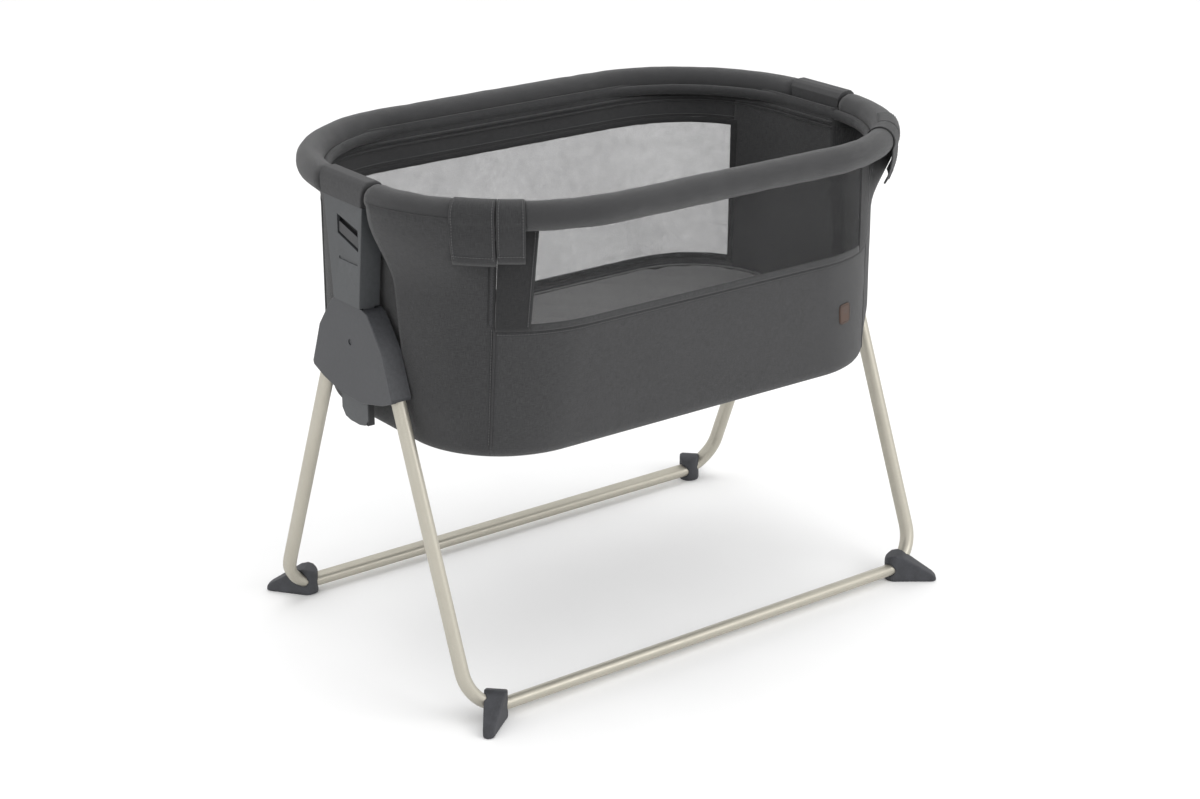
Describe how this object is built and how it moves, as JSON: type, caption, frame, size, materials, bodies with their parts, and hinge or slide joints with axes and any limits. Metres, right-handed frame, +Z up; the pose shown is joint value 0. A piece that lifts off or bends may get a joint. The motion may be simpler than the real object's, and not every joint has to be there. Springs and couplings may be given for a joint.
{
  "type": "bassinet on stand",
  "caption": "Bedside bassinet with a padded oval rim, fabric and mesh walls, a drop-down side, height-adjusting posts and a folding A-frame tube stand.",
  "frame": {"origin": "on the floor under the middle of the basket", "axes": "+X along the basket, -Y towards the drop side, +Z up"},
  "size_m": [0.917, 0.6299, 0.751],
  "materials": {
    "leg_tube": "satin champagne paint",
    "knuckle": "moulded",
    "foot": "moulded soft plastic",
    "hub": "fine texture",
    "post": "fine texture",
    "inner_plastic": "moulded",
    "steel": "zinc plated",
    "rim_metal": "satin champagne paint",
    "sleeve": "woven, padded",
    "wall_fabric": "woven",
    "mesh": "open knit mesh",
    "mattress_fabric": "jersey",
    "board": "black fibreboard",
    "zip": "zip tape",
    "leather": "plain brown"
  },
  "bodies": {
    "hubs": {"hub_shell_left": "hub", "hub_shell_right": "hub", "hub_cover_left": "hub", "hub_cover_right": "hub", "post_guide_left": "inner_plastic", "post_guide_right": "inner_plastic", "leg_pins": "steel", "hub_screws": "steel"},
    "front_legs": {"front_leg_tube": "leg_tube", "front_leg_knuckles": "knuckle", "foot_front_left": "foot", "foot_front_right": "foot"},
    "rear_legs": {"rear_leg_tube": "leg_tube", "rear_leg_knuckles": "knuckle", "foot_rear_left": "foot", "foot_rear_right": "foot"},
    "basket": {"post_shell_left": "post", "post_shell_right": "post", "post_column_left": "inner_plastic", "post_column_right": "inner_plastic", "head_cap_left": "post", "head_cap_right": "post", "lever_spring_left": "steel", "lever_spring_right": "steel", "rim_tube": "rim_metal", "rim_pad_rear": "sleeve", "rim_pad_front_left": "sleeve", "rim_pad_front_right": "sleeve", "rim_end_plugs": "inner_plastic", "base_ring": "rim_metal", "support_board": "board", "mattress": "mattress_fabric", "floor_fabric": "wall_fabric", "end_wall_left": "wall_fabric", "end_wall_right": "wall_fabric", "rear_band_lower": "wall_fabric", "rear_band_upper": "wall_fabric", "rear_mesh": "mesh", "front_band": "wall_fabric", "side_mesh": "mesh", "corner_flap_left": "wall_fabric", "corner_flap_right": "wall_fabric", "zip_tapes": "zip", "leather_tag": "leather"},
    "side_rail": {"side_rail_tube": "rim_metal", "side_rail_pad": "sleeve", "side_rail_plugs": "inner_plastic"},
    "latch_left": {"latch_button_left": "inner_plastic"},
    "latch_right": {"latch_button_right": "inner_plastic"},
    "lever_left": {"release_lever_left": "inner_plastic", "lock_rod_left": "steel"},
    "lever_right": {"release_lever_right": "inner_plastic", "lock_rod_right": "steel"},
    "pin_left": {"lock_pin_left": "steel"},
    "pin_right": {"lock_pin_right": "steel"},
    "zip_left": {"zip_slider_left": "steel"},
    "zip_right": {"zip_slider_right": "steel"}
  },
  "joints": [
    {"name": "front_leg_fold", "type": "hinge", "parent": "hubs", "child": "front_legs", "pos_m": [0, -0.067, 0.505], "axis": [1, 0, 0], "range_deg": [0, 20]},
    {"name": "rear_leg_fold", "type": "hinge", "parent": "hubs", "child": "rear_legs", "pos_m": [0, 0.067, 0.505], "axis": [-1, 0, 0], "range_deg": [0, 20]},
    {"name": "height_slide", "type": "slide", "parent": "hubs", "child": "basket", "axis": [0, 0, 1], "range_m": [0, 0.1]},
    {"name": "side_drop", "type": "slide", "parent": "basket", "child": "side_rail", "axis": [0, 0, 1], "range_m": [-0.325, 0], "deforming": ["side_mesh"]},
    {"name": "latch_press_left", "type": "slide", "parent": "side_rail", "child": "latch_left", "axis": [0.5793, 0.8151, 0], "range_m": [0, 0.003], "stiffness_N_per_m": 600, "springref_m": -0.001},
    {"name": "latch_press_right", "type": "slide", "parent": "side_rail", "child": "latch_right", "axis": [-0.5793, 0.8151, 0], "range_m": [0, 0.003], "stiffness_N_per_m": 600, "springref_m": -0.001},
    {"name": "lever_lift_left", "type": "slide", "parent": "basket", "child": "lever_left", "axis": [0, 0, 1], "range_m": [0, 0.008], "stiffness_N_per_m": 500, "springref_m": -0.004, "deforming": ["lever_spring_left"]},
    {"name": "lever_lift_right", "type": "slide", "parent": "basket", "child": "lever_right", "axis": [0, 0, 1], "range_m": [0, 0.008], "stiffness_N_per_m": 500, "springref_m": -0.004, "deforming": ["lever_spring_right"]},
    {"name": "pin_draw_left", "type": "slide", "parent": "basket", "child": "pin_left", "axis": [-1, 0, 0], "range_m": [0, 0.004]},
    {"name": "pin_draw_right", "type": "slide", "parent": "basket", "child": "pin_right", "axis": [1, 0, 0], "range_m": [0, 0.004]},
    {"name": "zip_pull_left", "type": "slide", "parent": "basket", "child": "zip_left", "axis": [0, 0, 1], "range_m": [-0.12, 0]},
    {"name": "zip_pull_right", "type": "slide", "parent": "basket", "child": "zip_right", "axis": [0, 0, 1], "range_m": [-0.12, 0]}
  ],
  "couplings": [
    {"joint": "rear_leg_fold", "follows": "front_leg_fold", "ratio": 1},
    {"joint": "pin_draw_left", "follows": "lever_lift_left", "ratio": 0.5},
    {"joint": "pin_draw_right", "follows": "lever_lift_right", "ratio": 0.5}
  ]
}
